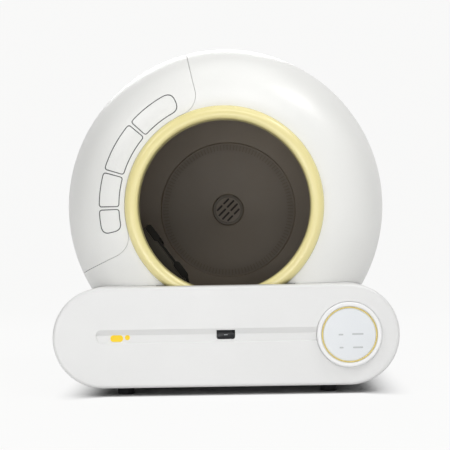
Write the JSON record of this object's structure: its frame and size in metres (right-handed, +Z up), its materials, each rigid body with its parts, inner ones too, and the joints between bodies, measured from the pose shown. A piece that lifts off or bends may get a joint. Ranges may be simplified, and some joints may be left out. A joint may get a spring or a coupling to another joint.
{
  "type": "self-cleaning litter box",
  "caption": "Self-cleaning litter box: a turning drum with sifter and gear ring in a round white housing with a pale yellow entry ring, over a pill-shaped base with a waste drawer.",
  "frame": {"origin": "centre of the bounding box at floor level", "axes": "+Z up, front (drawer face and entry ring) towards -Y, +X to the right seen from the front"},
  "size_m": [0.52, 0.537, 0.5346],
  "materials": {
    "white": "smooth moulded white plastic",
    "yellow": "pale yellow moulded plastic",
    "smoke": "dark smoky brown plastic",
    "dark": "glossy near-black plastic",
    "grey": "grey acetal",
    "liner": "soft matt sheet",
    "bin": "matt grey plastic",
    "plate": "clear-faced pale touch plate",
    "rubber": "matt black rubber",
    "carbon": "porous charcoal block",
    "board": "green circuit board",
    "gold": "satin gold ring",
    "steel": "zinc-plated steel"
  },
  "bodies": {
    "chassis": {"base_pan": "white", "base_top": "white", "drum_cradle": "grey", "housing_front": "white", "housing_rear": "white", "entry_ring": "yellow", "entry_seal": "rubber", "axle_front_left": "steel", "axle_front_right": "steel", "axle_rear_left": "steel", "axle_rear_right": "steel", "foot_front_left": "rubber", "foot_front_right": "rubber", "foot_rear_left": "rubber", "foot_rear_right": "rubber", "deck_screw_1": "steel", "deck_screw_2": "steel", "deck_screw_3": "steel", "deck_screw_4": "steel", "gear_motor": "steel", "pod_bezel": "white", "light_ring": "gold", "touch_plate": "plate", "pod_board": "board", "sensor_window": "dark", "main_board": "board", "power_socket": "dark"},
    "drum": {"drum_front": "smoke", "drum_rear": "smoke", "ring_gear": "grey", "sifter_grid": "smoke", "pocket_wall": "smoke", "litter_liner": "liner", "vent_cover": "smoke", "scent_cartridge": "carbon"},
    "pinion": {"drive_pinion": "grey", "pinion_shaft": "steel"},
    "roller_front_left": {"roller_front_left": "grey"},
    "roller_front_right": {"roller_front_right": "grey"},
    "roller_rear_left": {"roller_rear_left": "grey"},
    "roller_rear_right": {"roller_rear_right": "grey"},
    "drawer": {"drawer_front": "white", "waste_bin": "bin", "bag_ring": "grey"},
    "side_cover": {"side_cover": "white"}
  },
  "joints": [
    {"name": "drum_spin", "type": "hinge", "parent": "chassis", "child": "drum", "pos_m": [0, 0, 0.2848], "axis": [0, 1, 0], "continuous": true},
    {"name": "pinion_spin", "type": "hinge", "parent": "chassis", "child": "pinion", "pos_m": [0.16219, 0, 0.11975], "axis": [0, 1, 0], "continuous": true},
    {"name": "roller_front_left_spin", "type": "hinge", "parent": "chassis", "child": "roller_front_left", "pos_m": [-0.13254, 0, 0.12684], "axis": [0, 1, 0], "continuous": true},
    {"name": "roller_front_right_spin", "type": "hinge", "parent": "chassis", "child": "roller_front_right", "pos_m": [0.13254, 0, 0.12684], "axis": [0, 1, 0], "continuous": true},
    {"name": "roller_rear_left_spin", "type": "hinge", "parent": "chassis", "child": "roller_rear_left", "pos_m": [-0.13254, 0, 0.12684], "axis": [0, 1, 0], "continuous": true},
    {"name": "roller_rear_right_spin", "type": "hinge", "parent": "chassis", "child": "roller_rear_right", "pos_m": [0.13254, 0, 0.12684], "axis": [0, 1, 0], "continuous": true},
    {"name": "drawer_slide", "type": "slide", "parent": "chassis", "child": "drawer", "axis": [0, -1, 0], "range_m": [0, 0.36]},
    {"name": "side_cover_lift_off", "type": "slide", "parent": "chassis", "child": "side_cover", "axis": [-0.8975, 0, 0.441], "range_m": [0, 0.12]}
  ],
  "couplings": [
    {"joint": "pinion_spin", "follows": "drum_spin", "ratio": -6},
    {"joint": "roller_front_left_spin", "follows": "drum_spin", "ratio": -12.727},
    {"joint": "roller_front_right_spin", "follows": "drum_spin", "ratio": -12.727},
    {"joint": "roller_rear_left_spin", "follows": "drum_spin", "ratio": -12.727},
    {"joint": "roller_rear_right_spin", "follows": "drum_spin", "ratio": -12.727}
  ]
}
